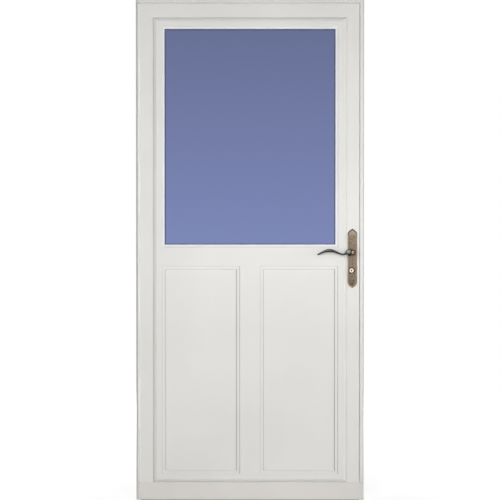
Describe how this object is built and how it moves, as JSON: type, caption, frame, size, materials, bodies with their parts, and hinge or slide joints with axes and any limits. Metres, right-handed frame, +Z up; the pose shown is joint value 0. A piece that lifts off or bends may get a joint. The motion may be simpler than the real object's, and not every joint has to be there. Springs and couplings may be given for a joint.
{
  "type": "storm door",
  "caption": "White aluminium storm door in its screw-on frame: tall window over two sunk panels, continuous side hinge, antique brass lever handle with key lock, bottom sweep.",
  "frame": {"origin": "On the back face of the hinge-side frame flange, at its foot, midway across the flange.", "axes": "+Z up, +Y from the weather side into the house, +X from the hinge side to the latch side."},
  "size_m": [0.936, 0.138, 2.057],
  "materials": {
    "white_paint": "satin",
    "white_vinyl": "gloss",
    "white_seal": "matte",
    "seal_grey": "matte",
    "window_glass": "gloss",
    "black_gasket": "matte",
    "antique_brass": "satin",
    "polished_brass": "polished",
    "zinc_steel": "satin"
  },
  "bodies": {
    "frame": {"hinge_jamb": "white_paint", "latch_jamb": "white_paint", "head_jamb": "white_paint", "strike_plate": "zinc_steel", "latch_seal": "seal_grey", "hinge_seal": "seal_grey", "head_seal": "seal_grey", "latch_fin": "white_seal", "head_fin": "white_seal", "hinge_frame_leaf": "white_paint", "hinge_pin": "zinc_steel"},
    "door": {"hinge_stile": "white_paint", "latch_stile": "white_paint", "top_rail": "white_paint", "bottom_rail": "white_paint", "kick_panel": "white_paint", "surround_hinge": "white_paint", "surround_latch": "white_paint", "surround_top": "white_paint", "glass_pane": "window_glass", "glass_gasket": "black_gasket", "outer_bead_hinge": "white_vinyl", "outer_bead_latch": "white_vinyl", "outer_bead_top": "white_vinyl", "outer_bead_sill": "white_vinyl", "inner_bead_hinge": "white_vinyl", "inner_bead_latch": "white_vinyl", "inner_bead_top": "white_vinyl", "inner_bead_sill": "white_vinyl", "bottom_expander": "white_paint", "bottom_sweep": "seal_grey", "hinge_door_leaf": "white_paint", "outer_escutcheon": "antique_brass", "inner_escutcheon": "antique_brass", "key_cylinder": "antique_brass", "lock_box": "zinc_steel"},
    "lever": {"outer_lever": "antique_brass", "inner_lever": "antique_brass", "lever_spindle": "zinc_steel"},
    "lock": {"key_plug": "polished_brass", "lock_tail": "zinc_steel", "thumb_turn": "antique_brass"}
  },
  "joints": [
    {"name": "door_swing", "type": "hinge", "parent": "frame", "child": "door", "pos_m": [0.0035, -0.009, 1], "axis": [0, 0, -1], "range_deg": [0, 90]},
    {"name": "lever_turn", "type": "hinge", "parent": "door", "child": "lever", "pos_m": [0.8815, -0.01, 1.0185], "axis": [0, -1, 0], "range_deg": [0, 40], "stiffness_Nm_per_rad": 1.4, "springref_deg": -22.92},
    {"name": "lock_turn", "type": "hinge", "parent": "door", "child": "lock", "pos_m": [0.878, -0.01, 0.945], "axis": [0, -1, 0], "range_deg": [0, 90]}
  ]
}
